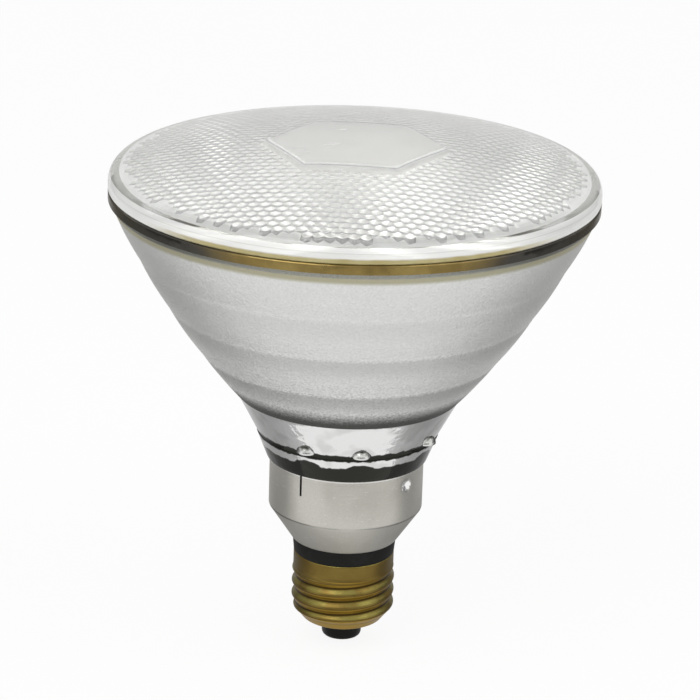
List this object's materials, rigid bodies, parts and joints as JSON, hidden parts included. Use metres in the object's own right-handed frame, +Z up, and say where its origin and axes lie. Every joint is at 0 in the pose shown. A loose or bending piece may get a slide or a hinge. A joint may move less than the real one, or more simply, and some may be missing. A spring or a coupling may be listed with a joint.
{
  "type": "infrared heat bulb",
  "caption": "Pressed-glass reflector heat bulb with a clear patterned front glass, a silvered bowl and an aluminium skirt over a brass medium screw base.",
  "frame": {"origin": "centre of the flat tip of the contact's solder, the lowest point of the bulb", "axes": "+Z up the bulb's axis from the centre contact to the front glass, -Y the side the picture shows, +X to its right"},
  "size_m": [0.1216, 0.1216, 0.133],
  "materials": {
    "front_glass": "clear pressed glass with a pillow pattern inside",
    "silvered_glass": "glass aluminised inside, fine-grained satin outside",
    "clear_glass": "clear",
    "tungsten": "drawn wire",
    "nickel_wire": "drawn wire",
    "ferrule_metal": "satin",
    "skirt_aluminium": "satin, lightly scuffed",
    "black_ring": "matt",
    "shell_brass": "aged",
    "black_glass": "opaque, glossy",
    "contact_brass": "plain",
    "solder": "dull"
  },
  "bodies": {
    "root": {"front_lens": "front_glass", "reflector": "silvered_glass", "filament": "tungsten", "filament_post_left": "nickel_wire", "filament_post_right": "nickel_wire", "filament_support": "tungsten", "glass_bridge": "clear_glass", "ferrule_left": "ferrule_metal", "ferrule_right": "ferrule_metal", "exhaust_tube": "clear_glass", "skirt": "skirt_aluminium", "insulating_ring": "black_ring", "screw_shell": "shell_brass", "base_insulator": "black_glass", "centre_contact": "contact_brass", "contact_lead": "nickel_wire", "shell_lead": "nickel_wire", "contact_solder": "solder", "shell_solder": "solder"}
  },
  "joints": []
}
